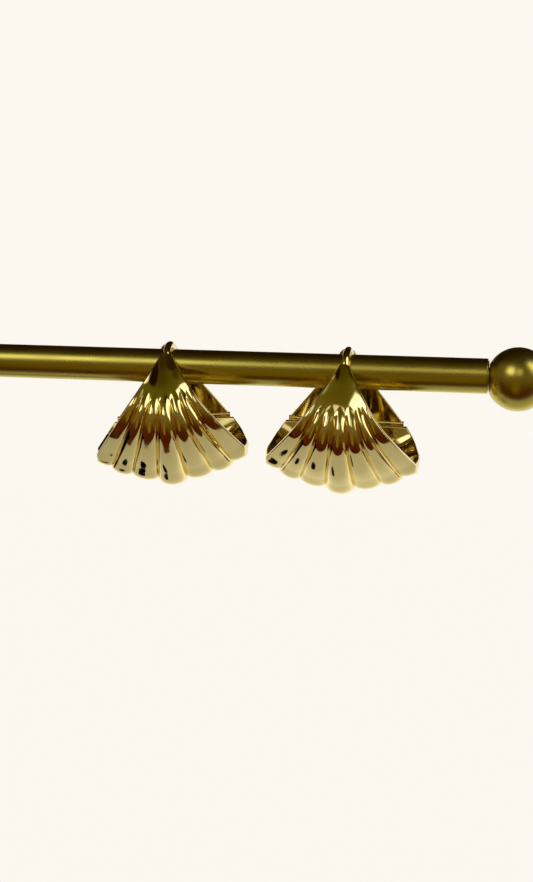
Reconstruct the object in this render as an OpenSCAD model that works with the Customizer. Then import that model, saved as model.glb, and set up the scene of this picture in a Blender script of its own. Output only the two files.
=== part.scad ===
// A pair of gold hoop earrings, each a pleated fan with a hinged latch at its back, hung side by
// side on a plain display bar that ends in a ball. The bar runs along +X towards its ball, the
// fans face -Y and +Z is up. The origin is on the bar's axis, at the shoulder that meets the stand.
// Each earring is drawn about the point of the bar's axis that it hangs over.

/* [Display bar] */
// Diameter of the bar
bar_d = 6.3; // [5.6:0.1:6.3]
// Length of the bar from its shoulder to the end beside the ball
bar_len = 93.5; // [90:0.1:105]
// Diameter of the spigot that goes into the stand
spigot_d = 5; // [3:0.1:5.4]
// Length of the spigot
spigot_len = 10; // [5:0.5:20]
// Diameter of the ball
ball_d = 11.4; // [9:0.1:14]
// Radius of the flat on the ball
ball_flat = 2.65; // [2.4:0.05:3.1]
// How far the loose ball hangs below the bar's axis
ball_sag = 0.4; // [0.3:0.05:0.4]

/* [Fan] */
// Height of the fan's centre, where all ribs point, above the bar's axis
fan_centre = 2.65; // [2.4:0.05:2.8]
// Angle from the middle of the fan to each side edge
fan_half = 37.4; // [34:0.2:40]
// Half width that the fan's edges keep beside its centre
tip_half = 0.7; // [0.6:0.05:0.9]
// Share by which the fan's two corners reach further than its middle
corner_flare = 0.018; // [0:0.002:0.03]
// Share by which the fan is wider behind its bottom than in front
back_spread = 0.04; // [0:0.005:0.06]
// Wall thickness of the fan
wall = 0.9; // [0.7:0.05:1.1]
// Distance from the fan's centre at which the ribs start
rib_start = 5.9; // [5:0.1:6.5]
// Distance over which a rib rises to its height in front
rib_run = 4.4; // [3.5:0.1:5]
// How much later a rib starts beside its valleys, which rounds its tip
rib_round = 0.9; // [0:0.1:1.5]
// Greatest height of a rib in front, above the bottom
front_rib = 1.05; // [0.75:0.05:1.3]
// How much further the fan's middle comes forward than its side edges
belly = 1; // [0:0.1:1.4]
// How much further back the ends of the straight edge under the hinge are drawn
edge_back = 0.75; // [0:0.05:0.9]

/* [Wire, hinge and latch] */
// Diameter of the wire that arches over the bar
wire_d = 1.35; // [0.9:0.05:1.4]
// Angle of the wire's rounded end above the horizontal, behind the bar
wire_end = 36; // [34:1:42]
// Distance from the fan's centre down to the hinge axis
hinge_drop = 13.6; // [12:0.1:15]
// Depth of the hinge axis behind the bar's axis
hinge_depth = 5.5; // [5.4:0.05:5.6]
// Outside diameter of the hinge barrel
barrel_d = 1; // [0.9:0.05:1.1]
// Diameter of the hinge pin
pin_d = 0.5; // [0.4:0.02:0.54]
// Thickness of the latch
latch_wall = 0.8; // [0.7:0.05:0.9]
// Depth of the latch's top behind the bar's axis, at the wire's end
latch_depth = 4; // [3.9:0.05:4.1]
// Radius of the latch's round top
dome_r = 1.7; // [1.4:0.1:2]
// Height of the latch's top above the bar's axis
dome_top = 3.5; // [3:0.1:4]

/* [Hidden] */
$fn = 48;

gold = [0.83, 0.67, 0.28];
bar_gold = [0.60, 0.52, 0.20];

// Where and how each earring hangs on the bar: its place, and its turns about X, Y and Z
left_hang = [[34.7, 0, 0.25], [-2.6, -2.3, 10.4]];
right_hang = [[68, 0, -0.2], [4.1, 1.8, 3.1]];

// Side profile of the fan's outer skin, from the tip at the wire down the front, round the bottom
// and up the back: distance from the fan's centre, depth behind the bar's axis
fan_profile = [
    [-0.2, -4.2],   // tip
    [3, -7.6],      // shoulder
    [7.2, -10.8],   // brow, where the ribs start
    [11.8, -11.3],  // belly
    [16.3, -9.2],   // under the belly
    [20.8, -5.8],   // front of the curl
    [23.4, -3.3],   // rim
    [21.8, 0.6],    // bottom, back
    [20.1, 3.9],    // heel
    [15.8, 5.6],    // back under the hinge
    [11.3, 6.1]     // back at the hinge
];
bottom_back = 7;    // the row of fan_profile at which the ribs have begun to fade

// The ribs from side to side: share of the fan's width, height above the valleys
fan_ribs = [[1, 0.5], [1.14, 0.85], [1.36, 0.75], [1.52, 1.45], [1.36, 0.75], [1.14, 0.85], [1, 0.5]];
rib_steps = 8;      // facets across one rib
rib_soft = 0.03;    // how much the valleys between the ribs are softened
back_steps = 5;     // facets from the bottom up to the hinge

hinge_z = fan_centre - hinge_drop;
pin_clear = 0.04;   // radial clearance of the pin in the knuckles
part_gap = 0.12;    // gap between pieces that move past each other
edge_gap = barrel_d / 2 + part_gap;         // from the hinge axis down to the fan's straight edge
wire_gap = 0.08;    // gap between the bar and the wire that hangs on it
arch_r = bar_d / 2 + wire_gap + wire_d / 2; // radius of the wire's arch, at its middle
wire_start = 150;   // angle at which the wire leaves the fan's tip
stud_d = 3;         // diameter of the stud that carries the ball
stud_len = 7;       // length of that stud

// How each wire is bent on its fan: turned about Z, and moved up to rest on the bar
left_bend = [-8, -left_hang[0][2]];
right_bend = [-4, -right_hang[0][2]];

// Half the length of the hinge's barrel, which is as long as the fan is wide there
barrel_half = hinge_drop * tan(fan_half) * (1 + back_spread);
// Where the fan's own two knuckles begin and end, from the middle
fan_knuckle = [2.2, 5];

function mix(a, b, k) = a + (b - a) * k;
function smooth(k) = let (c = min(max(k, 0), 1)) c * c * (3 - 2 * c);
function unit(v) = v / norm(v);

// A smooth curve through the rows of a table, at t rows from its start
function curve(rows, t) =
    let (last = len(rows) - 1, k = min(floor(t), last - 1), f = t - k,
         a = rows[max(k - 1, 0)], b = rows[k], c = rows[k + 1], d = rows[min(k + 2, last)])
    0.5 * (2 * b + (c - a) * f + (2 * a - 5 * b + 4 * c - d) * f * f + (3 * b - 3 * c + d - a) * f * f * f);

// The profile moved outwards by lift, along its own normal
function lifted(t, lift) =
    let (last = len(fan_profile) - 1,
         along = unit(curve(fan_profile, min(t + 0.02, last)) - curve(fan_profile, max(t - 0.02, 0))))
    curve(fan_profile, t) + lift * [along[1], -along[0]];

// How much longer the fan is at u than in its middle, where u runs from -1 to 1 across it
function reach(u, t) = 1 + corner_flare * pow(u, 6) * smooth((t - 2) / 4);

// The place on the profile at which a skin reaches the straight edge under the hinge, by halving
function edge_t(u, lift, low = 7.5, high = 10, tries = 14) =
    tries == 0 ? low :
    let (t = (low + high) / 2,
         z = fan_centre - lifted(t, lift)[0] * reach(u, t) * cos(fan_half * u))
    z < hinge_z - edge_gap ? edge_t(u, lift, t, high, tries - 1) : edge_t(u, lift, low, t, tries - 1);

// The columns of the fan: rib number and place across that rib, from 0 to 1
fan_columns = concat(
    [for (k = [0 : len(fan_ribs) - 1]) for (s = [0 : rib_steps - 1]) [k, s / rib_steps]],
    [[len(fan_ribs) - 1, 1]]);
function share_before(k) = k == 0 ? 0 : share_before(k - 1) + fan_ribs[k - 1][0];
function across(col) =
    2 * (share_before(col[0]) + col[1] * fan_ribs[col[0]][0]) / share_before(len(fan_ribs)) - 1;

// Height of a rib above its valleys: half an ellipse across, softened in the valleys. It rises slowly
// from a round tip, reaches its full height towards the bottom and fades at the back
function rib_lift(col, t) =
    let (side = 2 * col[1] - 1, full = fan_ribs[col[0]][1], front = min(full, front_rib),
         outer = (col[0] == 0 && side < 0) || (col[0] == len(fan_ribs) - 1 && side > 0),
         crest = (sqrt(1 - side * side * (outer ? 0.25 : 1) + rib_soft) - sqrt(rib_soft))
                 / (sqrt(1 + rib_soft) - sqrt(rib_soft)),
         rise = smooth((lifted(t, 0)[0] - rib_start - rib_round * side * side) / rib_run),
         fade = 1 - smooth((t - bottom_back + 0.4) / 1.6))
    mix(front, full, smooth((t - 3.5) / 2)) * crest * rise * fade;

// One point of a skin, lifted off the profile. Up is how far it lies up the back, from 0 to 1
function fan_point(u, t, lift, up = 0) =
    let (q = lifted(t, lift), r = q[0] * reach(u, t), a = fan_half * u,
         narrow = t < 1 ? sqrt(1 - pow(min(max(0.6 - r, 0) / 1.1, 0.9), 2)) : 1,
         spread = 1 + back_spread * smooth((t - 5.4) / 1.4),
         forward = belly * (1 - u * u) * smooth((t - 1.8) / 1.8) * (1 - smooth((t - 4.4) / 1.6)))
    [(r * sin(a) + u * tip_half * (1 - r / 22)) * narrow * spread,
     q[1] - forward + edge_back * u * u * smooth(up), fan_centre - r * cos(a)];

// The rows of the fan down to the back of its bottom, closest where the ribs rise
fan_rows = concat([0, 0.12, 0.3, 0.55, 0.9, 1.3], [for (t = [1.6 : 0.2 : 3.5]) t],
                  [for (t = [3.8 : 0.4 : 7.1]) t]);

// One skin of the fan. Share is how much of each rib it follows, off is its distance from the profile
function fan_skin(share, off) = concat(
    [for (t = fan_rows) [for (col = fan_columns) fan_point(across(col), t, off + share * rib_lift(col, t))]],
    [for (k = [1 : back_steps])
        [for (col = fan_columns)
            let (u = across(col), start = fan_rows[len(fan_rows) - 1],
                 t = mix(start, edge_t(u, off), k / back_steps))
            fan_point(u, t, off + share * rib_lift(col, t), k / back_steps)]]);

// A closed wall between an outer and an inner skin of the same rows and columns
module skin_wall(outer, inner) {
    m = len(outer);
    n = len(outer[0]);
    points = [for (skin = [outer, inner]) for (row = skin) for (p = row) p];
    function o(i, j) = i * n + j;
    function s(i, j) = m * n + i * n + j;
    quads = concat(
        [for (i = [0 : m - 2]) for (j = [0 : n - 2]) [o(i, j), o(i, j + 1), o(i + 1, j + 1), o(i + 1, j)]],
        [for (i = [0 : m - 2]) for (j = [0 : n - 2]) [s(i + 1, j), s(i + 1, j + 1), s(i, j + 1), s(i, j)]],
        [for (i = [0 : m - 2]) [s(i, 0), o(i, 0), o(i + 1, 0), s(i + 1, 0)]],
        [for (i = [0 : m - 2]) [o(i, n - 1), s(i, n - 1), s(i + 1, n - 1), o(i + 1, n - 1)]],
        [for (j = [0 : n - 2]) [s(0, j), s(0, j + 1), o(0, j + 1), o(0, j)]],
        [for (j = [0 : n - 2]) [o(m - 1, j), o(m - 1, j + 1), s(m - 1, j + 1), s(m - 1, j)]]);
    polyhedron(points, [for (q = quads) for (tri = [[q[0], q[1], q[2]], [q[0], q[2], q[3]]]) tri]);
}

// A cylinder along X, from x0 to x1, on the hinge axis
module on_hinge(d, x0, x1) {
    translate([x0, hinge_depth, hinge_z]) rotate([0, 90, 0]) cylinder(d = d, h = x1 - x0);
}

// Turns a drawing in the plane of the wire's arch, which starts along X at the wire's rounded end,
// upright on the fan
module on_arch(bend) {
    translate([-arch_r * sin(bend[0]), 0, bend[1]]) rotate([0, 0, bend[0]]) rotate([90, 0, 90])
        rotate([0, 0, wire_end]) children(0);
}

// The round wire, soldered behind the fan's tip, that arches over the bar to the latch
module wire(bend) {
    on_arch(bend) rotate_extrude(angle = wire_start - wire_end) translate([arch_r, 0]) circle(d = wire_d);
    on_arch(bend) translate([arch_r, 0, 0]) rotate([90, 0, 0]) sphere(d = wire_d);
}

// The pleated fan: one cast wall down the front, round the bottom and up to the hinge, with the
// wire and two knuckles of the hinge soldered to it
module fan(bend) {
    color(gold) difference() {
        union() {
            skin_wall(fan_skin(1, 0), fan_skin(0.5, -wall));
            wire(bend);
            for (x0 = [fan_knuckle[0], -fan_knuckle[1]]) {
                length = fan_knuckle[1] - fan_knuckle[0];
                on_hinge(barrel_d, x0, x0 + length);
                // the web that carries it
                translate([x0 + wall / 4, hinge_depth - wall / 4, hinge_z - edge_gap - wall / 2])
                    cube([length - wall / 2, wall / 2, edge_gap + wall / 2]);
            }
        }
        on_hinge(pin_d + 2 * pin_clear, -barrel_half - 1, barrel_half + 1);
    }
}

// The straight wire on which the latch turns
module pin() {
    color(bar_gold) on_hinge(pin_d, -barrel_half, barrel_half);
}

// The latch: a thin plate, part of a ring so wide that it is hardly bowed, that leans from the hinge
// to the wire's end, narrows to a round top, and is rolled into three knuckles at its foot
module latch(bend) {
    neck_half = 1;
    bow_r = 120;
    dome_z = dome_top - dome_r;
    foot = [hinge_depth, hinge_z];
    top = [latch_depth, arch_r * sin(wire_end)];
    chord = norm(top - foot);
    backwards = [top[1] - foot[1], foot[0] - top[0]] / chord;
    centre = (foot + top) / 2 - backwards * sqrt(bow_r * bow_r - chord * chord / 4);
    color(gold) difference() {
        union() {
            intersection() {
                rotate([90, 0, 0]) linear_extrude(height = 20, center = true) {
                    polygon([[-barrel_half, hinge_z], [barrel_half, hinge_z], [neck_half, dome_z],
                        [-neck_half, dome_z]]);
                    translate([0, dome_z]) circle(r = dome_r);
                }
                translate([0, centre[0], centre[1]]) rotate([0, 90, 0]) difference() {
                    cylinder(r = bow_r + latch_wall / 2, h = 40, center = true, $fn = 180);
                    cylinder(r = bow_r - latch_wall / 2, h = 41, center = true, $fn = 180);
                }
                // only the back of the ring
                translate([-20, 0, -20]) cube([40, 10, 40]);
            }
            on_hinge(barrel_d, -barrel_half, barrel_half);
        }
        // room for the fan's two knuckles
        on_hinge(barrel_d + 2 * part_gap, fan_knuckle[0] - part_gap, fan_knuckle[1] + part_gap);
        on_hinge(barrel_d + 2 * part_gap, -fan_knuckle[1] - part_gap, part_gap - fan_knuckle[0]);
        on_hinge(pin_d + 2 * pin_clear, -barrel_half - 1, barrel_half + 1);
        // the dimple that takes the wire's end
        on_arch(bend) translate([arch_r, 0, 0]) rotate([90, 0, 0]) sphere(d = wire_d + 2 * part_gap);
    }
}

// Places an earring on the bar
module hang(place) {
    translate(place[0]) rotate(place[1]) children();
}

// The bar with its spigot, and with the stud that carries the ball
module bar() {
    chamfer = 0.3;
    color(bar_gold) rotate([0, 90, 0]) {
        translate([0, 0, -spigot_len]) cylinder(d = spigot_d, h = spigot_len + 1);
        cylinder(d = bar_d, h = bar_len - chamfer);
        translate([0, 0, bar_len - chamfer]) cylinder(d1 = bar_d, d2 = bar_d - 2 * chamfer, h = chamfer);
        translate([0, 0, bar_len - 1]) cylinder(d = stud_d, h = stud_len + 1);
    }
}

// The ball, cut flat beside the bar and drilled for the stud, on which it hangs loosely
module ball() {
    flat = sqrt(pow(ball_d / 2, 2) - pow(ball_flat, 2));
    face_gap = 0.25;
    hole_d = stud_d + 2 * ball_sag + 2 * wire_gap;
    color(bar_gold) translate([bar_len + face_gap, 0, -ball_sag]) rotate([0, 90, 0]) difference() {
        translate([0, 0, flat]) sphere(d = ball_d, $fn = 96);
        translate([0, 0, -ball_d]) cylinder(d = 2 * ball_d, h = ball_d);
        translate([0, 0, -1]) cylinder(d = hole_d, h = stud_len + 1);
    }
}

bar();
ball();
hang(left_hang) fan(left_bend);  // left_fan
hang(left_hang) pin();  // left_pin
hang(left_hang) latch(left_bend);  // left_latch
hang(right_hang) fan(right_bend);  // right_fan
hang(right_hang) pin();  // right_pin
hang(right_hang) latch(right_bend);  // right_latch
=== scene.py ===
"""A pair of pleated gold fan earrings on a satin display bar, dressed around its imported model.

Metres throughout. The bar runs along +X towards its ball, the fans face -Y and +Z is up.
"""
import math

import bmesh
import bpy
import numpy as np
from mathutils import Matrix


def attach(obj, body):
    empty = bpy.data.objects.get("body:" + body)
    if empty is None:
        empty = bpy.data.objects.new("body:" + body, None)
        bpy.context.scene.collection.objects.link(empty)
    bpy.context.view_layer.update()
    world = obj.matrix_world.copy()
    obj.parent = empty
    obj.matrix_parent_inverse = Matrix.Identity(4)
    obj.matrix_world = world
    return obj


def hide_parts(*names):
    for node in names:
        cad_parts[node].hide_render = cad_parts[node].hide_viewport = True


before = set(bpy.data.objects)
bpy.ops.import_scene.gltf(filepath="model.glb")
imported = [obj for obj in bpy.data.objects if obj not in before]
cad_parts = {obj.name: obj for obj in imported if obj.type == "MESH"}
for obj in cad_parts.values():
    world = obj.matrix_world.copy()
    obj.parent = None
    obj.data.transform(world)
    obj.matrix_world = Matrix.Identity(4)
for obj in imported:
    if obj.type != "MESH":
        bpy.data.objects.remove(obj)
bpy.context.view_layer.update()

MM = 0.001
scene = bpy.context.scene

# The camera.
# It looks from a quarter of a metre away, a little from above and from the right, with the bar level
# across the frame.
camera_target = np.array([53.27, 0.0, -13.66]) * MM
camera_azimuth, camera_elevation, camera_roll = np.radians([11.07, 14.61, -0.383])
camera_distance = 246.3 * MM
sensor_width, focal_length = 36.0, 54.01    # millimetres
view_from = 10 * MM                         # distance at which the camera's view begins


def camera_axes(azimuth, elevation, roll):
    """Right, up and backward directions: back is (sin az cos el, -cos az cos el, sin el), right lies
    level, and roll turns right and up about back."""
    back = np.array([math.sin(azimuth) * math.cos(elevation), -math.cos(azimuth) * math.cos(elevation),
                     math.sin(elevation)])
    level = np.array([math.cos(azimuth), math.sin(azimuth), 0.0])
    over = np.cross(back, level)
    right = level * math.cos(roll) + over * math.sin(roll)
    up = over * math.cos(roll) - level * math.sin(roll)
    return right, up, back


right, up, back = camera_axes(camera_azimuth, camera_elevation, camera_roll)
stand = camera_target + camera_distance * back
lens = bpy.data.cameras.new("camera")
lens.sensor_width, lens.lens, lens.clip_start = sensor_width, focal_length, view_from
camera = bpy.data.objects.new("camera", lens)
camera.matrix_world = Matrix([[*right, 0], [*up, 0], [*back, 0], [*stand, 1]]).transposed()
scene.collection.objects.link(camera)
scene.camera = camera

# The pleated fans.
# Each is one brass casting of seven pleats, polished and gold plated, from a narrow tip down the front
# and round the bottom to the hinge. Its wire and two knuckles of the hinge are soldered to it.
fan_centre = 2.65       # height of the point to which all ribs run, above the bar's axis
fan_half = math.radians(37.4)   # from the fan's middle to each side edge
tip_half = 0.7          # half width that the side edges keep beside the centre
tip_fade = 22           # radius by which that half width has faded away
tip_from, tip_run = 0.6, 1.1    # radius above which the tip narrows, and over what length to nothing
tip_most = 0.9          # share of that length that is used
corner_flare = 0.018    # share by which the bottom corners reach further than the middle
corner_r = 1.6          # rounding of those corners
back_spread = 0.04      # share by which the fan is wider behind its bottom
wall = 0.9
rib_start = 5.9         # radius at which the ribs start
rib_run = 4.4           # over which they rise
rib_round = 0.9         # how much later a rib starts beside its valleys
rib_soft = 0.03         # how much the valleys are softened
front_rib = 1.05        # highest that a rib is in front
belly = 1.0             # how much further the fan's middle comes forward than its sides
edge_back = 0.75        # how much further back the ends of the edge under the hinge are drawn

# Side profile of the outer skin, down the front, round the bottom and up the back: radius from the
# centre, depth behind the bar's axis
fan_profile = np.array([
    [-0.2, -4.2], [3, -7.6], [7.2, -10.8], [11.8, -11.3], [16.3, -9.2], [20.8, -5.8],
    [23.4, -3.3], [21.8, 0.6], [20.1, 3.9], [15.8, 5.6], [11.3, 6.1]])
bottom_t = 7.0          # row of the profile at which the back of the bottom begins
# Where along the profile something eases in or out: its first row, and over how many rows
flare_in, full_ribs_in, ribs_out = (2, 4), (3.5, 2), (bottom_t - 0.4, 1.6)
belly_in, belly_out, spread_in = (1.8, 1.8), (4.4, 1.6), (5.4, 1.4)
# The ribs from side to side: share of the width, full height above the valleys
fan_ribs = np.array([[1, 0.5], [1.14, 0.85], [1.36, 0.75], [1.52, 1.45],
                     [1.36, 0.75], [1.14, 0.85], [1, 0.5]])
rib_edges = np.concatenate([[0], np.cumsum(fan_ribs[:, 0])]) / fan_ribs[:, 0].sum() * 2 - 1

# The hinge behind the fan: its axis, its barrel as wide as the fan is there, and the fan's knuckles
hinge_drop = 13.6
hinge_y, hinge_z = 5.5, fan_centre - hinge_drop
barrel_half = hinge_drop * math.tan(fan_half) * (1 + back_spread)
barrel_r = 0.5
bore_r = 0.29
gap = 0.12              # between pieces that move past each other
edge_gap = barrel_r + 0.04      # from the axis down to the fan's straight edge
knuckle_from, knuckle_to = 2.2, 5.0     # where the fan's knuckles lie, on either side of the middle
fan_knuckles = ((knuckle_from, knuckle_to), (-knuckle_to, -knuckle_from))

# Where each earring hangs: point of the bar's axis, turns about X, Y and Z in degrees, and the
# turn and rise of its wire
hangs = {
    "left": ((34.7, 0, 0.25), (-2.6, -2.3, 10.4), (-8.0, -0.25)),
    "right": ((68.0, 0, -0.2), (4.1, 1.8, 3.1), (-4.0, 0.2)),
}


def smooth(k):
    """Eases from 0 to 1: 3k^2 - 2k^3, held at both ends."""
    k = np.clip(k, 0, 1)
    return k * k * (3 - 2 * k)


def eased(t, first, rows):
    """The ease along the profile from row first on, over so many rows."""
    return smooth((t - first) / rows)


def curve(rows, t):
    """Catmull-Rom curve through the rows of a table, at t rows from its start."""
    last = len(rows) - 1
    k = np.minimum(np.floor(t).astype(int), last - 1)
    f = (t - k)[..., None]
    a, b, c, d = (rows[np.clip(k + n, 0, last)] for n in (-1, 0, 1, 2))
    return 0.5 * (2 * b + (c - a) * f + (2 * a - 5 * b + 4 * c - d) * f ** 2
                  + (3 * b - 3 * c + d - a) * f ** 3)


def lifted(t, lift):
    """The profile at t, moved out along its own normal by lift; its direction is that of the chord over
    0.02 of a row on each side."""
    last = len(fan_profile) - 1
    along = curve(fan_profile, np.minimum(t + 0.02, last)) - curve(fan_profile, np.maximum(t - 0.02, 0))
    along /= np.linalg.norm(along, axis=-1, keepdims=True)
    return curve(fan_profile, t) + lift[..., None] * np.stack([along[..., 1], -along[..., 0]], -1)


def reach(u, t):
    """How much further the fan reaches at u than in its middle: u^6, eased in below the shoulder."""
    return 1 + corner_flare * np.abs(u) ** 6 * eased(t, *flare_in)


def rounded(r, u, ease=0.4, soft=0.3):
    """The radius r held inside the quarter circle that rounds a bottom corner: at a distance w below
    corner_r from the side edge the limit is the rim less corner_r - sqrt(corner_r^2 - (corner_r - w)^2),
    and (x + sqrt(x^2 + soft^2)) / 2 of what passes it comes off, eased in where the pull is below ease."""
    rim = fan_profile[:, 0].max() * (1 + corner_flare)
    inside = np.clip(corner_r - (1 - np.abs(u)) * fan_half * rim, 0, corner_r)
    pull = corner_r - np.sqrt(corner_r ** 2 - inside ** 2)
    over = r - (rim - pull)
    return r - smooth(pull / ease) * (over + np.sqrt(over ** 2 + soft ** 2)) / 2


def edge_t(u, lift):
    """Where on the profile a skin meets the straight edge under the hinge, found by halving."""
    low, high = np.full(u.shape, bottom_t + 0.5), np.full(u.shape, len(fan_profile) - 1.0)
    for _ in range(22):
        t = (low + high) / 2
        z = fan_centre - lifted(t, lift)[..., 0] * reach(u, t) * np.cos(fan_half * u)
        below = z < hinge_z - edge_gap
        low, high = np.where(below, t, low), np.where(below, high, t)
    return low


def rib_lift(u, t):
    """Height of a rib above its valleys: half an ellipse across, sqrt(1 - side^2 + rib_soft) -
    sqrt(rib_soft) over its greatest value, with side halved on the fan's two outer edges. It rises by an
    ease from a round tip, and fades by another at the back."""
    last = len(fan_ribs) - 1
    k = np.clip(np.searchsorted(rib_edges, u, side="right") - 1, 0, last)
    side = np.clip(2 * (u - rib_edges[k]) / (rib_edges[k + 1] - rib_edges[k]) - 1, -1, 1)
    outer = ((k == 0) & (side < 0)) | ((k == last) & (side > 0))
    crest = np.sqrt(1 - side ** 2 * np.where(outer, 0.25, 1) + rib_soft) - math.sqrt(rib_soft)
    crest /= math.sqrt(1 + rib_soft) - math.sqrt(rib_soft)
    r = lifted(t, np.zeros(t.shape))[..., 0]
    rise = smooth((r - rib_start - rib_round * side ** 2) / rib_run)
    low = np.minimum(fan_ribs[k, 1], front_rib)
    height = low + (fan_ribs[k, 1] - low) * eased(t, *full_ribs_in)
    return height * crest * rise * (1 - eased(t, *ribs_out))


def fan_surface(u, v, depth):
    """A point of the fan: u from -1 to 1 across it, v the place on the profile (above bottom_t it runs to
    the straight back edge), depth the share of the way from the outer skin to the inner one, which follows
    the ribs at half their height. Radius and depth come from the lifted profile, and the radius is laid
    out at the angle fan_half * u about the fan's centre. The tip narrows as a quarter ellipse does."""
    k = np.clip(v - bottom_t, 0, 1)
    off = -wall * depth
    t = np.where(v <= bottom_t, v, bottom_t + (edge_t(u, off) - bottom_t) * k)
    q = lifted(t, off + (1 - 0.5 * depth) * rib_lift(u, t))
    r = rounded(q[..., 0] * reach(u, t), u)
    angle = fan_half * u
    tip = np.minimum(np.maximum(tip_from - r, 0) / tip_run, tip_most)
    narrow = np.where(t < 1, np.sqrt(1 - tip ** 2), 1)
    spread = 1 + back_spread * eased(t, *spread_in)
    forward = belly * (1 - u ** 2) * eased(t, *belly_in) * (1 - eased(t, *belly_out))
    forward = forward - edge_back * u ** 2 * smooth(k)
    return np.stack([(r * np.sin(angle) + u * tip_half * (1 - r / tip_fade)) * narrow * spread,
                     q[..., 1] - forward, fan_centre - r * np.cos(angle)], -1)


def grid_faces(rows, columns, around):
    """Quads between the rows of a grid, closed across its columns where around is true."""
    i = np.arange(rows - 1)[:, None]
    j = np.arange(columns if around else columns - 1)[None, :]
    k = (j + 1) % columns
    return np.stack([i * columns + j, i * columns + k, (i + 1) * columns + k, (i + 1) * columns + j],
                    -1).reshape(-1, 4)


def turned(degrees):
    """Rotation about X, then Y, then Z."""
    a, b, c = np.radians(degrees)
    about_x = np.array([[1, 0, 0], [0, math.cos(a), -math.sin(a)], [0, math.sin(a), math.cos(a)]])
    about_y = np.array([[math.cos(b), 0, math.sin(b)], [0, 1, 0], [-math.sin(b), 0, math.cos(b)]])
    about_z = np.array([[math.cos(c), -math.sin(c), 0], [math.sin(c), math.cos(c), 0], [0, 0, 1]])
    return about_z @ about_y @ about_x


def joined(parts):
    """One list of points and one of faces from several (points, faces)."""
    points, faces, count = [], [], 0
    for p, f in parts:
        points.append(p.reshape(-1, 3))
        faces += [[int(k) + count for k in face] for face in f]
        count += len(points[-1])
    return np.concatenate(points), faces


def shell_mesh(name, points, faces, near):
    """A mesh of closed shells, with points nearer than near merged and its faces outward."""
    mesh = bpy.data.meshes.new(name)
    mesh.from_pydata(points.tolist(), [], faces)
    shell = bmesh.new()
    shell.from_mesh(mesh)
    bmesh.ops.remove_doubles(shell, verts=shell.verts, dist=near)
    bmesh.ops.dissolve_degenerate(shell, edges=shell.edges, dist=near)
    bmesh.ops.recalc_face_normals(shell, faces=shell.faces)
    shell.to_mesh(mesh)
    shell.free()
    return mesh


def piece(name, parts, place, turns, material, body, nodes, sharp=50):
    """Makes a piece from shells in millimetres, turned and put in place, with its edges of more than sharp
    degrees left sharp, says what body it rides on, and hides the model's parts that it replaces."""
    points, faces = joined(parts)
    points = (points @ turned(turns).T + np.array(place)) * MM
    mesh = shell_mesh(name, points, faces, 1e-7)
    mesh.shade_smooth()
    mesh.set_sharp_from_angle(angle=math.radians(sharp))
    mesh.materials.append(material)
    made = bpy.data.objects.new(name, mesh)
    scene.collection.objects.link(made)
    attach(made, body)
    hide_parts(*nodes)


def fan_shell(corner=0.18, across=22, step=0.22, arc=4):
    """The fan's closed wall: rounded rings across it, with so many columns across each rib, laid along the
    profile a step apart. Towards its two ends the rings shrink along a quarter circle, and a narrow strip
    closes each end."""
    spread = (1 - np.cos(np.linspace(0, np.pi, across + 1))) / 2
    columns = np.concatenate([rib_edges[k] + spread[:-1] * (rib_edges[k + 1] - rib_edges[k])
                              for k in range(len(fan_ribs))] + [[1.0]])
    # the distance along the middle of the fan, summed over fine steps
    v = np.linspace(0, bottom_t + 1, 3000)
    middle = fan_surface(np.zeros(v.shape), v, np.zeros(v.shape))
    length = np.concatenate([[0], np.cumsum(np.linalg.norm(np.diff(middle, axis=0), axis=1))])
    turn = np.linspace(0, np.pi / 2, arc + 2)
    end, shrink = corner * (1 - np.cos(turn)), corner * (1 - np.sin(turn))
    inner_rows = np.linspace(corner, length[-1] - corner, int(length[-1] / step))[1:-1]
    distance = np.concatenate([end, inner_rows, length[-1] - end[::-1]])
    inset = np.concatenate([shrink, 0 * inner_rows, shrink[::-1]])
    v = np.interp(distance, length, v)

    turn = turn[1:-1]
    n = len(columns)
    near_side, nearer_middle = 0.999, 0.989     # two places across, by which the width there is measured
    rows = []
    for row_v, d in zip(v, inset):
        small = corner - d
        sunk, drawn = corner - small * np.cos(turn), corner - small * np.sin(turn)
        down = np.concatenate([sunk, [wall / 2], wall - drawn])
        pull = np.concatenate([drawn, [d], sunk])
        side = np.ones(len(down))
        u = np.concatenate([columns, side, columns[::-1], -side])
        depth = np.concatenate([np.full(n, d), down, np.full(n, wall - d), down[::-1]]) / wall
        inward = np.concatenate([np.full(n, corner), pull, np.full(n, corner), pull[::-1]])
        at = np.full(u.shape, row_v)
        width = np.linalg.norm(fan_surface(np.sign(u) * near_side, at, depth)
                               - fan_surface(np.sign(u) * nearer_middle, at, depth), axis=-1)
        scale = 1 - inward / np.maximum(width / (near_side - nearer_middle), 1e-6)
        rows.append(fan_surface(u * scale, at, depth))
    grid = np.array(rows)
    m, ring = grid.shape[:2]
    faces = grid_faces(m, ring, True).tolist()
    side = len(down)
    for row, flip in ((0, False), (m - 1, True)):
        outer = row * ring + np.arange(n)
        inner = row * ring + n + side + np.arange(n)[::-1]
        for j in range(n - 1):
            quad = [outer[j], outer[j + 1], inner[j + 1], inner[j]]
            faces.append([int(q) for q in (quad if flip else quad[::-1])])
    return grid, faces


def tube(path, radius, normal, count=32):
    """A round tube along a path in the YZ plane: each ring is the path's point plus radius times
    (cos a * normal + sin a * X). A radius of 0 at either end closes it."""
    a = np.linspace(0, 2 * np.pi, count, endpoint=False)[None, :, None]
    ring = np.cos(a) * normal[:, None] + np.sin(a) * np.array([1.0, 0, 0])
    return path[:, None] + radius[:, None, None] * ring, grid_faces(len(path), count, True)


def upright(q):
    """Points of the YZ plane as points in space."""
    return np.concatenate([np.zeros((len(q), 1)), q], 1)


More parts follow.
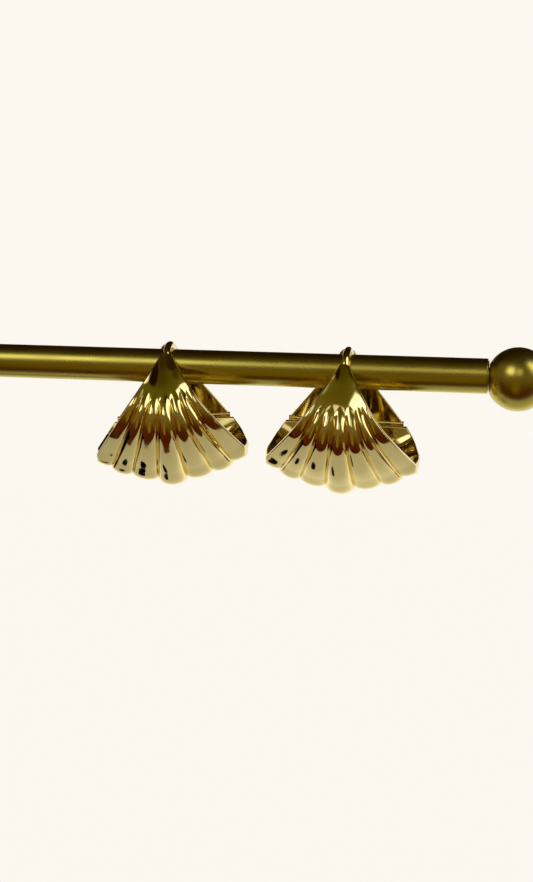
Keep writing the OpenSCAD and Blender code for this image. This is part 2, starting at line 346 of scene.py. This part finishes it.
arch_r, wire_r = 3.905, 0.675
wire_end, wire_start = 36.0, 150.0  # angles of the wire's rounded end and of its other end on the arch
sunk_y, sunk_z = -6.4, 0.1          # where it has sunk into the wall behind the tip
sunk_by = 0.4                       # how much thinner it is there


def as_bent(points, bend):
    """Points of the arch as the wire is bent: turned about the upright and raised by bend, and moved by
    arch_r * sin(turn) along X, so that the leg in front stays in the middle."""
    turn, rise = bend
    return points @ turned((0, 0, turn)).T + np.array([-arch_r * math.sin(math.radians(turn)), 0, rise])


def bent_wire(bend):
    """The wire: a half-round end behind the bar, an arc over it, and a run down behind the fan's tip in
    which it thins and sinks into the wall. It is made in the plane of the arch, and then bent."""
    ball = np.linspace(0, np.pi / 2, 9)[:-1]
    arc = np.radians(np.linspace(wire_end, wire_start, 60))
    start = np.array([math.cos(arc[0]), math.sin(arc[0])]) * arch_r
    back_way = np.array([math.sin(arc[0]), -math.cos(arc[0])])
    cap = start + wire_r * np.cos(ball)[:, None] * back_way
    over = arch_r * np.stack([np.cos(arc), np.sin(arc)], -1)
    # from the arc's end down to the middle of the wall: a Hermite curve, with the arc's slope at its
    # start and the wall's at its end
    k = np.linspace(0, 1, 16)[1:, None]
    a, b = over[-1], np.array([sunk_y, sunk_z - bend[1]])
    leave, arrive = 2.0 * np.array([-0.5, -0.866]), 2.6 * np.array([-0.728, -0.685])
    down = ((2 * k ** 3 - 3 * k ** 2 + 1) * a + (k ** 3 - 2 * k ** 2 + k) * leave
            + (3 * k ** 2 - 2 * k ** 3) * b + (k ** 3 - k ** 2) * arrive)
    path = np.concatenate([cap, over, down, down[-1:]])
    radius = np.concatenate([wire_r * np.sin(ball), np.full(len(arc), wire_r),
                             wire_r - sunk_by * smooth(k[:, 0]), [0.0]])
    along = np.gradient(path, axis=0)
    along[:len(ball)] = -back_way
    along[-1] = along[-2]
    along /= np.linalg.norm(along, axis=1, keepdims=True)
    grid, faces = tube(upright(path), radius, upright(np.stack([along[:, 1], -along[:, 0]], -1)))
    return as_bent(grid, bend), faces


def lathe(profile, count=64, closed=False):
    """A profile of (along X, radius) turned about the X axis: (x, r cos a, r sin a)."""
    profile = np.array(profile, float)
    a = np.linspace(0, 2 * np.pi, count, endpoint=False)
    x, r = profile[:, :1], profile[:, 1:]
    grid = np.stack(np.broadcast_arrays(x, r * np.cos(a), r * np.sin(a)), -1)
    if closed:
        grid = np.concatenate([grid, grid[:1]])
    return grid, grid_faces(len(grid), count, True)


def softened(profile, radius, steps=4, closed=False):
    """The corners of a profile cut by circular arcs of that radius, or of less where a side is short, each
    with a close point on both sides so that the flats stay flat."""
    most, beside = 0.45, 1.15       # longest cut as a share of a side, and the close points' place
    rows = [np.array(p, float) for p in profile]
    out = [] if closed else [rows[0]]
    for k in range(0 if closed else 1, len(rows) if closed else len(rows) - 1):
        p, q, s = rows[k - 1], rows[k], rows[(k + 1) % len(rows)]
        a, b = (p - q) / np.linalg.norm(p - q), (s - q) / np.linalg.norm(s - q)
        half = math.acos(np.clip(a @ b, -1, 1)) / 2
        cut = min(radius / math.tan(half), np.linalg.norm(p - q) * most, np.linalg.norm(s - q) * most)
        r = cut * math.tan(half)
        centre = q + (a + b) / np.linalg.norm(a + b) * r / math.sin(half)
        first, last = q + a * cut - centre, q + b * cut - centre
        sweep = math.pi - 2 * half
        arc = [(math.sin((1 - f) * sweep) * first + math.sin(f * sweep) * last) / math.sin(sweep) + centre
               for f in np.linspace(0, 1, steps + 1)]
        out += [q + a * cut * beside, *arc, q + b * cut * beside]
    if not closed:
        out.append(rows[-1])
    return np.array(out)


def on_hinge(profile, count=64, closed=False):
    """A profile turned about the hinge's axis."""
    grid, faces = lathe(profile, count, closed)
    return grid + np.array([0, hinge_y, hinge_z]), faces


def knuckle(x0, x1, corner=0.08):
    """A knuckle of the hinge: a short drilled barrel with broken edges."""
    ring = [(x0, bore_r), (x0, barrel_r), (x1, barrel_r), (x1, bore_r)]
    return on_hinge(softened(ring, corner, closed=True), 48, closed=True)


def strap(x0, x1, y0, y1, z0, z1, corner=0.12, steps=3):
    """A short plate with rounded edges: a rounded rectangle in the YZ plane, drawn in along a quarter
    circle at both ends."""
    turn = np.linspace(0, np.pi / 2, steps + 1)
    ring, centre = [], np.array([(y0 + y1) / 2, (z0 + z1) / 2])
    corners = ((y1 - corner, z1 - corner), (y0 + corner, z1 - corner),
               (y0 + corner, z0 + corner), (y1 - corner, z0 + corner))
    for quarter, middle in enumerate(corners):
        a = turn + quarter * np.pi / 2
        ring.append(middle + corner * np.stack([np.cos(a), np.sin(a)], -1))
    ring = np.concatenate(ring)
    rows = []
    inwards, insets = corner * (1 - np.cos(turn)), corner * (1 - np.sin(turn))
    for x, inset in [*zip(x0 + inwards, insets), *zip(x1 - inwards[::-1], insets[::-1])]:
        q = ring - np.sign(ring - centre) * np.minimum(inset, np.abs(ring - centre))
        rows.append(np.concatenate([np.full((len(q), 1), x), q], 1))
    grid = np.array(rows)
    n, m = len(ring), len(rows)
    ends = [list(range(n))[::-1], list(range((m - 1) * n, m * n))]
    return grid, grid_faces(m, n, True).tolist() + ends


def linear(code):
    """An sRGB hex colour as linear red, green, blue and 1: c / 12.92 up to 0.04045, and above that
    ((c + 0.055) / 1.055)^2.4."""
    c = np.array([int(code[k:k + 2], 16) for k in (1, 3, 5)]) / 255
    return [*np.where(c <= 0.04045, c / 12.92, ((c + 0.055) / 1.055) ** 2.4), 1.0]


def add_node(tree, kind, settings=(), values=(), links=()):
    """Adds a node: settings are its own properties, values are its inputs' values, and links gives the
    output that each input takes."""
    node = tree.nodes.new(kind)
    for name, value in dict(settings).items():
        setattr(node, name, value)
    for name, value in dict(values).items():
        node.inputs[name].default_value = value
    for name, output in dict(links).items():
        tree.links.new(output, node.inputs[name])
    return node


def new_material(name):
    """An empty node material, its tree, and the object coordinates that its patterns use, in metres."""
    material = bpy.data.materials.new(name)
    material.use_nodes = True
    tree = material.node_tree
    tree.nodes.clear()
    return material, tree, add_node(tree, "ShaderNodeTexCoord").outputs["Object"]


# Gold plate over cast and hand-polished brass: a mirror with a warm reflection. The casting leaves a
# faint waviness about 2 mm long, and handling leaves a film that dulls it in patches of about 4 mm.
polished_gold, tree, here = new_material("polished_gold_plate")
waves = add_node(tree, "ShaderNodeTexNoise", {}, {"Scale": 450.0, "Detail": 2.0}, {"Vector": here})
waviness = add_node(tree, "ShaderNodeBump", {}, {"Strength": 0.25, "Distance": 0.00003},
                    {"Height": waves.outputs["Fac"]})
film = add_node(tree, "ShaderNodeTexNoise", {}, {"Scale": 260.0, "Detail": 4.0}, {"Vector": here})
dullness = add_node(tree, "ShaderNodeMapRange", {},
                    {"From Min": 0.35, "From Max": 0.7, "To Min": 0.05, "To Max": 0.11},
                    {"Value": film.outputs["Fac"]})
gold_shader = add_node(tree, "ShaderNodeBsdfPrincipled", {},
                       {"Base Color": linear("#FBE79D"), "Metallic": 1.0},
                       {"Roughness": dullness.outputs["Result"], "Normal": waviness.outputs["Normal"]})
add_node(tree, "ShaderNodeOutputMaterial", {}, {}, {"Surface": gold_shader.outputs["BSDF"]})

# The strap that carries a knuckle: how much shorter than the knuckle it is at each end, and from the
# hinge's axis its front and back, its foot inside the wall and its top inside the barrel
strap_in, strap_front, strap_back, strap_low, strap_high = 0.1, -0.35, 0.3, -edge_gap - 0.4, -0.32

for side, (place, turns, bend) in hangs.items():
    hinge = []
    for x0, x1 in fan_knuckles:
        hinge.append(knuckle(x0, x1))
        hinge.append(strap(x0 + strap_in, x1 - strap_in, hinge_y + strap_front, hinge_y + strap_back,
                           hinge_z + strap_low, hinge_z + strap_high))
    piece(side + "_pleated_fan", [fan_shell(), bent_wire(bend), *hinge], place, turns, polished_gold,
          "bar", [side + "_fan"])

# The latches.
# Each is a thin brass plate in the same gold, hardly bowed, that narrows to a round top with a dimple for
# the wire's end. Its foot is rolled into the hinge's other three knuckles.
latch_wall = 0.8
dome_r = 1.7            # of the round top
dome_z = 3.5 - dome_r   # its centre
neck_half = 1.0         # half the plate's width at that centre, if its straight sides ran on
plate_z = hinge_z + bore_r + 0.03       # the plate's lower edge, just above the pin's bore
foot_top = plate_z + 2.0                # up to here the rings' corners are gathered
# The middle of the plate's thickness bows at the radius bow_r from the hinge's axis to the height of the
# wire's end: both as y and z
latch_foot = np.array([hinge_y, hinge_z])
latch_top = np.array([4.0, arch_r * math.sin(math.radians(wire_end))])
bow_r = 120.0
chord = np.linalg.norm(latch_top - latch_foot)
backwards = np.array([latch_top[1] - latch_foot[1], latch_foot[0] - latch_top[0]]) / chord
bow_centre = (latch_foot + latch_top) / 2 - backwards * math.sqrt(bow_r ** 2 - chord ** 2 / 4)


def latch_outline(step=0.16):
    """Once round the plate in the XZ plane: along the foot, up a straight side to the round top, over it
    and down again."""
    corner, neck = np.array([barrel_half, hinge_z]), np.array([neck_half, dome_z])
    run = neck - corner
    from_dome = corner - [0, dome_z]
    # where the side meets the circle: the smaller root of |from_dome + s * run| = dome_r
    a, b, c = run @ run, 2 * from_dome @ run, from_dome @ from_dome - dome_r ** 2
    touch = corner + run * (-b - math.sqrt(b * b - 4 * a * c)) / (2 * a)
    foot_end = corner + run * (plate_z - hinge_z) / run[1]
    side_line = foot_end + np.linspace(0, 1, int(abs(run[1]) / step))[:, None] * (touch - foot_end)
    a = np.linspace(math.atan2(touch[1] - dome_z, touch[0]), math.pi / 2, 34)[1:]
    dome = np.stack([np.cos(a), np.sin(a)], -1) * dome_r + [0, dome_z]
    foot = np.stack([np.linspace(0, foot_end[0], int(foot_end[0] / step))[:-1],
                     np.full(int(foot_end[0] / step) - 1, plate_z)], -1)
    half_round = np.concatenate([foot, side_line, dome])
    return np.concatenate([half_round, (half_round * [-1, 1])[-2:0:-1]])


def drawn_in(outline, out, amount):
    """The outline drawn in by amount against out. Points that would cross at a corner of the foot gather
    where the drawn-in foot and side meet: amount up, and amount * side_x / (1 - side_z) inwards."""
    q = outline - amount * out
    end = outline[np.argmax(outline[:, 0])]
    side = np.array([dome_z - hinge_z, barrel_half - neck_half])
    side /= np.linalg.norm(side)
    crossed = (q[:, 1] < end[1] + amount - 1e-6) | (np.abs(q[:, 0]) * side[0] + q[:, 1] * side[1]
                                                    > end @ side - amount + 1e-6)
    crossed &= outline[:, 1] < foot_top
    meet = np.stack([np.sign(q[:, 0]) * (end[0] - amount * side[0] / (1 - side[1])),
                     np.full(len(q), end[1] + amount)], -1)
    return np.where(crossed[:, None], meet, q)


def latch_plate(dimple, corner=0.22, rings=26, arc=4):
    """The plate: rings of its outline shrunk towards its middle line on the inner face, rounded over the
    edge and back to the middle line on the outer face. Its depth follows two circles about one centre in
    front of it, and the inner face is pressed in where the dimple's ball, x, y, z and radius, reaches
    further."""
    outline = latch_outline()
    along = np.roll(outline, -1, 0) - np.roll(outline, 1, 0)
    out = np.stack([along[:, 1], -along[:, 0]], -1) / np.linalg.norm(along, axis=1, keepdims=True)
    spine = np.stack([0 * outline[:, 0], np.clip(outline[:, 1], foot_top, dome_z)], -1)
    shares = np.linspace(0, 1, rings + 1)
    turn = np.linspace(0, np.pi / 2, arc + 1)
    falling, rising = corner * (1 - np.sin(turn)), corner * (1 - np.cos(turn))
    inner = drawn_in(outline, out, corner)
    rows = [(spine + s * (inner - spine), 0.0) for s in shares]
    rows += [(drawn_in(outline, out, inset), depth) for inset, depth in zip(falling[1:], rising[1:])]
    rows += [(drawn_in(outline, out, inset), latch_wall - depth) for inset, depth in zip(rising, falling)]
    rows += [(spine + s * (inner - spine), latch_wall) for s in shares[-2::-1]]
    ball_x, ball_y, ball_z, dimple_r = dimple
    grid = []
    for k, (q, depth) in enumerate(rows):
        y = bow_centre[0] + np.sqrt((bow_r - latch_wall / 2 + depth) ** 2 - (q[:, 1] - bow_centre[1]) ** 2)
        if k <= rings:
            inside = dimple_r ** 2 - (q[:, 0] - ball_x) ** 2 - (q[:, 1] - ball_z) ** 2
            pressed = np.maximum(y, ball_y + np.sqrt(np.maximum(inside, 0)))
            y = np.where(inside > 0, pressed, y)
        grid.append(np.stack([q[:, 0], y, q[:, 1]], -1))
    grid = np.array(grid)
    return grid, grid_faces(len(grid), len(outline), True)


def cut(part, *tools):
    """A closed shell with other closed shells cut out of it, in millimetres."""
    solids = []
    for points, faces in (joined([part]), joined(tools)):
        solids.append(bpy.data.objects.new("cut", shell_mesh("cut", points, faces, 1e-5)))
        scene.collection.objects.link(solids[-1])
    step = solids[0].modifiers.new("cut", "BOOLEAN")
    step.operation, step.solver, step.object = "DIFFERENCE", "EXACT", solids[1]
    left = bpy.data.meshes.new_from_object(solids[0].evaluated_get(bpy.context.evaluated_depsgraph_get()))
    points = np.array([v.co for v in left.vertices])
    faces = [list(face.vertices) for face in left.polygons]
    for solid in solids:
        bpy.data.meshes.remove(solid.data)
    bpy.data.meshes.remove(left)
    return points, faces


latch_knuckles = ((-barrel_half, -knuckle_to - gap), (gap - knuckle_from, knuckle_from - gap),
                  (knuckle_to + gap, barrel_half))
# round slots that clear the fan's knuckles
notch_r = barrel_r + gap
notches = [on_hinge([(x0 - gap, 0), (x0 - gap, notch_r), (x1 + gap, notch_r), (x1 + gap, 0)])
           for x0, x1 in fan_knuckles]
wire_tip = arch_r * np.array([0, math.cos(math.radians(wire_end)), math.sin(math.radians(wire_end))])

for side, (place, turns, bend) in hangs.items():
    plate = latch_plate([*as_bent(wire_tip, bend), wire_r + gap])
    parts = [cut(plate, *notches)] + [knuckle(x0, x1) for x0, x1 in latch_knuckles]
    piece(side + "_latch_plate", parts, place, turns, polished_gold, side + "_latch",
          [side + "_latch"])

# The hinge pins.
# Each is a straight piece of drawn brass wire that runs through all five knuckles and is cut flush. The
# model's own solids stay, and get the wire's material.

# Bare drawn brass: roughness that varies every third of a millimetre, as the marks of the drawing do.
drawn_brass, tree, here = new_material("drawn_brass_wire")
lines = add_node(tree, "ShaderNodeTexNoise", {}, {"Scale": 3000.0, "Detail": 2.0}, {"Vector": here})
drawn_roughness = add_node(tree, "ShaderNodeMapRange", {}, {"To Min": 0.18, "To Max": 0.32},
                           {"Value": lines.outputs["Fac"]})
pin_shader = add_node(tree, "ShaderNodeBsdfPrincipled", {},
                      {"Base Color": linear("#D8B868"), "Metallic": 1.0},
                      {"Roughness": drawn_roughness.outputs["Result"]})
add_node(tree, "ShaderNodeOutputMaterial", {}, {}, {"Surface": pin_shader.outputs["BSDF"]})
for side in hangs:
    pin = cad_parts[side + "_pin"]
    pin.data.materials.clear()
    pin.data.materials.append(drawn_brass)

# The display bar and its ball.
# Brass rod plated satin gold, with a turned spigot at the stand's end and a stud at the other. The ball is
# drilled and hangs loosely on the stud.

# Satin gold: a fine even grit 0.2 mm across, and patches 8 mm wide that handling has polished more.
satin_gold, tree, here = new_material("satin_gold_plate")
grit = add_node(tree, "ShaderNodeTexNoise", {}, {"Scale": 5200.0, "Detail": 3.0, "Roughness": 0.6},
                {"Vector": here})
grain = add_node(tree, "ShaderNodeBump", {}, {"Strength": 0.35, "Distance": 0.00002},
                 {"Height": grit.outputs["Fac"]})
wear = add_node(tree, "ShaderNodeTexNoise", {}, {"Scale": 120.0, "Detail": 3.0}, {"Vector": here})
satin = add_node(tree, "ShaderNodeMapRange", {},
                 {"From Min": 0.3, "From Max": 0.7, "To Min": 0.24, "To Max": 0.32},
                 {"Value": wear.outputs["Fac"]})
bar_shader = add_node(tree, "ShaderNodeBsdfPrincipled", {},
                      {"Base Color": linear("#D2C25A"), "Metallic": 1.0},
                      {"Roughness": satin.outputs["Result"], "Normal": grain.outputs["Normal"]})
add_node(tree, "ShaderNodeOutputMaterial", {}, {}, {"Surface": bar_shader.outputs["BSDF"]})

bar_r, bar_end, bar_edge = 3.15, 93.5, 0.3     # edge: how far its corners are rounded
spigot_r, spigot_len = 2.5, 10
stud_r, stud_len = 1.5, 7.0
collar_r, collar_len = 2.75, 0.15      # low shoulder that keeps the ball off the bar's end
collar_x, stud_x = bar_end + collar_len, bar_end + stud_len
bar_profile = softened([(-spigot_len, 0), (-spigot_len, spigot_r), (0, spigot_r), (0, bar_r),
                        (bar_end, bar_r), (bar_end, collar_r)], bar_edge)
stud_profile = [(collar_x, collar_r), (collar_x, stud_r), (stud_x, stud_r), (stud_x, 0)]
bar_profile = np.concatenate([bar_profile, stud_profile])
piece("display_bar", [lathe(bar_profile, 128)], (0, 0, 0), (0, 0, 0), satin_gold, "bar", ["bar"])

ball_r, flat_r, hole_r = 5.7, 2.65, 1.98        # flat: the small ring round the hole that faces the bar
mouth_edge = 0.12                               # how far the flat's and the hole's corners are rounded
face_gap, sag = 0.25, 0.4                       # how the ball hangs: off the bar's end, and lower
ball_flat = math.sqrt(ball_r ** 2 - flat_r ** 2)
# the sphere, from just beside the flat's edge almost to the far pole, which one more point closes
a = np.linspace(math.asin(flat_r / ball_r) + 0.03, math.pi - 0.002, 90)
ball_curve = np.stack([ball_flat - ball_r * np.cos(a), ball_r * np.sin(a)], -1)
mouth = softened([(stud_len, 0), (stud_len, hole_r), (0, hole_r), (0, flat_r), ball_curve[0]], mouth_edge)
ball_profile = np.concatenate([mouth, ball_curve[1:], [[ball_flat + ball_r, 0]]])
piece("ball_finial", [lathe(ball_profile, 128)], (bar_end + face_gap, 0, -sag), (0, 0, 0), satin_gold,
      "bar", ["ball"])

# The floor.
# A sheet of pale paper well below the bar, which begins a little in front of the earrings and curls up
# far behind them. A small dark disc lies on it at the left, where the gold mirrors it.


def colour_ramp(tree, factor, stops):
    """The colour of a ramp with these stops, each a place from 0 to 1 and red, green, blue."""
    ramp = add_node(tree, "ShaderNodeValToRGB", {}, {}, {"Fac": factor})
    elements = ramp.color_ramp.elements
    while len(elements) < len(stops):
        elements.new(0.5)
    for element, (place, colour) in zip(elements, stops):
        element.position = place
    for element, (place, colour) in zip(elements, stops):
        element.color = (*colour, 1.0)
    return ramp.outputs["Color"]


# Cream paper with a fine fibre, that glows as brightly as the light on it would make it: painted light.
pale_paper, tree, here = new_material("pale_cream_paper")
fibre = add_node(tree, "ShaderNodeTexNoise", {}, {"Scale": 400.0, "Detail": 3.0}, {"Vector": here})
tone = add_node(tree, "ShaderNodeMapRange", {}, {"To Min": 0.99, "To Max": 1.0},
                {"Value": fibre.outputs["Fac"]})
# Painted light and shade on the glowing paper from its front to its back, darker in front and a little
# slanted: y + paper_slant * x in metres, and share of the full tone
paper_slant = 0.1
painted_paper_light = [(-0.30, 0.32), (-0.05, 0.43), (0.06, 0.48), (0.22, 0.7), (0.36, 1.0), (0.60, 1.0)]
split = add_node(tree, "ShaderNodeSeparateXYZ", {}, {}, {"Vector": here})
slant = add_node(tree, "ShaderNodeMath", {"operation": "MULTIPLY_ADD"})
tree.links.new(split.outputs["X"], slant.inputs[0])
slant.inputs[1].default_value = paper_slant
tree.links.new(split.outputs["Y"], slant.inputs[2])
first, last = painted_paper_light[0][0], painted_paper_light[-1][0]
along_paper = add_node(tree, "ShaderNodeMapRange", {}, {"From Min": first, "From Max": last},
                       {"Value": slant.outputs["Value"]})
lit = colour_ramp(tree, along_paper.outputs["Result"],
                  [((distance - first) / (last - first), (share,) * 3) for distance, share in painted_paper_light])
strength = add_node(tree, "ShaderNodeMath", {"operation": "MULTIPLY"})
tree.links.new(tone.outputs["Result"], strength.inputs[0])
tree.links.new(lit, strength.inputs[1])
glow = add_node(tree, "ShaderNodeEmission", {}, {"Color": linear("#FCF8F0")},
                {"Strength": strength.outputs["Value"]})
add_node(tree, "ShaderNodeOutputMaterial", {}, {}, {"Surface": glow.outputs["Emission"]})

# Dull black, for the disc.
dark_disc_finish, tree, here = new_material("dark_disc_matte")
disc_shader = add_node(tree, "ShaderNodeBsdfDiffuse", {}, {"Color": linear("#060402")})
add_node(tree, "ShaderNodeOutputMaterial", {}, {}, {"Surface": disc_shader.outputs["BSDF"]})


def stage_mesh(name, points, faces, material):
    """A mesh of the stage, from points in millimetres."""
    mesh = bpy.data.meshes.new(name)
    mesh.from_pydata((points.reshape(-1, 3) * MM).tolist(), [], faces)
    mesh.materials.append(material)
    mesh.shade_smooth()
    made = bpy.data.objects.new(name, mesh)
    scene.collection.objects.link(made)


floor_z = -400.0
drop = camera_target[2] / MM - floor_z
middle_x = camera_target[0] / MM
# The sheet's edges, as shares of its depth below the earrings: left, right, front and where it curls up
sheet = drop * np.array([-1.28, 1.28, -0.40, 2.0])
curl_r, curl_to = 300.0, 40     # the curl's radius, and how far round it goes in degrees
a = np.radians(np.linspace(0, curl_to, 12))
sweep = np.concatenate([[[sheet[2], floor_z], [sheet[3] / 2, floor_z]],
                        np.stack([sheet[3] + curl_r * np.sin(a), floor_z + curl_r * (1 - np.cos(a))], -1)])
grid = np.stack(np.broadcast_arrays(middle_x + sheet[:2], sweep[:, :1], sweep[:, 1:]), -1)
stage_mesh("paper_sweep", grid, grid_faces(len(sweep), 2, False).tolist(), pale_paper)

# The disc as the earrings see it: azimuth from the front towards +X, elevation and half width
disc_azimuth, disc_elevation, disc_spread = np.radians([-102.0, -62.0, 6.5])
disc_stretch = (1.5, 0.8)       # along X and Y
disc_lift = 2.0                 # above the paper
away = drop / math.tan(-disc_elevation)
a = np.linspace(0, 2 * np.pi, 48, endpoint=False)
disc_r = drop / math.sin(-disc_elevation) * math.tan(disc_spread)
disc = np.stack([middle_x + away * math.sin(disc_azimuth) + disc_stretch[0] * disc_r * np.cos(a),
                 -away * math.cos(disc_azimuth) + disc_stretch[1] * disc_r * np.sin(a),
                 np.full(len(a), floor_z + disc_lift)], -1)
stage_mesh("dark_disc", disc, [list(range(len(a)))], dark_disc_finish)

# The light.
# A brown room that is seen only in the reflections: dark above and below, with windows in front and at the
# right, a lamp, dark furniture, and a bright backdrop behind. The camera itself sees one pale backdrop.
room = bpy.data.worlds.new("brown_room")
room.use_nodes = True
tree = room.node_tree
tree.nodes.clear()


def calc(operation, *inputs):
    """The output of a math node in the room's tree, from numbers and outputs of other nodes."""
    node = tree.nodes.new("ShaderNodeMath")
    node.operation = operation
    for socket, value in zip(node.inputs, inputs):
        if isinstance(value, bpy.types.NodeSocket):
            tree.links.new(value, socket)
        else:
            socket.default_value = value
    return node.outputs["Value"]


direction = add_node(tree, "ShaderNodeTexCoord").outputs["Generated"]
axis = add_node(tree, "ShaderNodeSeparateXYZ", {}, {}, {"Vector": direction})
elevation = calc("DEGREES", calc("ARCSINE", axis.outputs["Z"]))
azimuth = calc("DEGREES", calc("ARCTAN2", axis.outputs["X"], calc("MULTIPLY", axis.outputs["Y"], -1.0)))

# The walls: elevation in degrees, and the wall's radiance there
walls = [(-90, (0.072, 0.018, 0.003)), (-60, (0.054, 0.011, 0.0024)), (-48, (0.066, 0.012, 0.0036)),
         (-36, (0.06, 0.013, 0.0036)), (-24, (0.078, 0.027, 0.006)), (-10, (0.114, 0.063, 0.017)),
         (8, (0.162, 0.114, 0.036)), (28, (0.156, 0.12, 0.036)), (46, (0.114, 0.09, 0.009)),
         (62, (0.096, 0.078, 0.0048)), (74, (0.06, 0.045, 0.0018)), (90, (0.03, 0.015, 0.0018))]
room_colour = colour_ramp(tree, calc("MULTIPLY_ADD", elevation, 1 / 180, 0.5),
                          [((degrees + 90) / 180, radiance) for degrees, radiance in walls])


def mixed(factor, below, colour):
    """The output of a mix of colours in the room's tree, from below to colour by factor. Its sockets share
    names with those of other mixes, so they are taken by number."""
    node = add_node(tree, "ShaderNodeMix", {"data_type": "RGBA"})
    tree.links.new(factor, node.inputs[0])
    tree.links.new(below, node.inputs[6])
    node.inputs[7].default_value = colour
    return node.outputs[2]


# Patches with soft edges, in degrees: azimuth, elevation, half width, half height, how far the patch shifts
# in azimuth for each degree up, softness of the edge, and radiance. A patch is full where
# |beside / half width|^3 + |above / half height|^3 is below 1 - soft, and gone where it is above 1 + soft.
patches = [
    ("table front", -8, -20, 15, 20, 0.0, 0.7, (0.19, 0.13, 0.0012)),
    ("dark left wall", -75, -26, 26, 24, 0.0, 0.6, (0.066, 0.018, 0.0048)),
    ("black doorway", -88, -28, 15, 19, -0.8, 0.6, (0.0024, 0.0024, 0.0024)),
    ("dark left top", -85, 66, 28, 15, 0.0, 0.7, (0.027, 0.012, 0.0012)),
    ("backdrop", 180, -16, 72, 19, 0.0, 0.4, (0.9, 0.86, 0.8)),
    ("dark behind", 180, 42, 78, 38, 0.0, 0.4, (0.018, 0.0072, 0.0012)),
    ("dark right top", 75, 71, 45, 8, 0.0, 0.6, (0.012, 0.0036, 0.0012)),
    ("dark shelf", 72, -10, 28, 8, 0.0, 0.7, (0.096, 0.072, 0.006)),
    ("warm right wall", 84, -26, 17, 9, 0.0, 0.6, (0.36, 0.288, 0.108)),
    ("curtain", 66, 33, 13, 18, -0.4, 0.6, (0.372, 0.372, 0.288)),
    ("right window", 86, 32, 20, 30, -0.5, 0.35, (1.6, 1.6, 1.5)),
    ("front lamp", 5, 38, 12, 11, 0.0, 0.6, (0.78, 0.75, 0.66)),
    ("front window", -34, 39, 17, 13, -0.2, 0.35, (1.5, 1.5, 1.44)),
]
for name, at, height, half_width, half_height, shift, soft, radiance in patches:
    above = calc("SUBTRACT", elevation, height)
    beside = calc("SUBTRACT", azimuth, calc("MULTIPLY_ADD", above, shift, at))
    beside = calc("WRAP", beside, 180, -180)
    square = calc("ADD", calc("POWER", calc("ABSOLUTE", calc("DIVIDE", beside, half_width)), 3),
                  calc("POWER", calc("ABSOLUTE", calc("DIVIDE", above, half_height)), 3))
    edge = add_node(tree, "ShaderNodeMapRange", {"interpolation_type": "SMOOTHSTEP", "name": name},
                    {"From Min": 1 + soft, "From Max": 1 - soft, "To Min": 0.0, "To Max": 1.0},
                    {"Value": square})
    room_colour = mixed(edge.outputs["Result"], room_colour, (*radiance, 1.0))

seen = add_node(tree, "ShaderNodeLightPath").outputs["Is Camera Ray"]
backdrop = mixed(seen, room_colour, linear("#FCF8F0"))
shade = add_node(tree, "ShaderNodeBackground", {}, {"Strength": 1.0}, {"Color": backdrop})
add_node(tree, "ShaderNodeOutputWorld", {}, {}, {"Surface": shade.outputs["Background"]})
scene.world = room


def soft_panel(name, azimuth, elevation, distance, width, height, power, colour):
    """A rectangular area light that faces the earrings from that direction, in degrees, metres and watts."""
    lamp = bpy.data.lights.new(name, "AREA")
    lamp.shape, lamp.size, lamp.size_y = "RECTANGLE", width, height
    lamp.energy, lamp.color = power, linear(colour)[:3]
    one = bpy.data.objects.new(name, lamp)
    x_axis, y_axis, z_axis = camera_axes(math.radians(azimuth), math.radians(elevation), 0)
    spot = camera_target + distance * z_axis
    one.matrix_world = Matrix([[*x_axis, 0], [*y_axis, 0], [*z_axis, 0], [*spot, 1]]).transposed()
    scene.collection.objects.link(one)


soft_panel("front_window_panel", -33, 39, 0.7, 0.2, 0.12, 0.05, "#FFFDF4")

scene.view_settings.view_transform = "Standard"
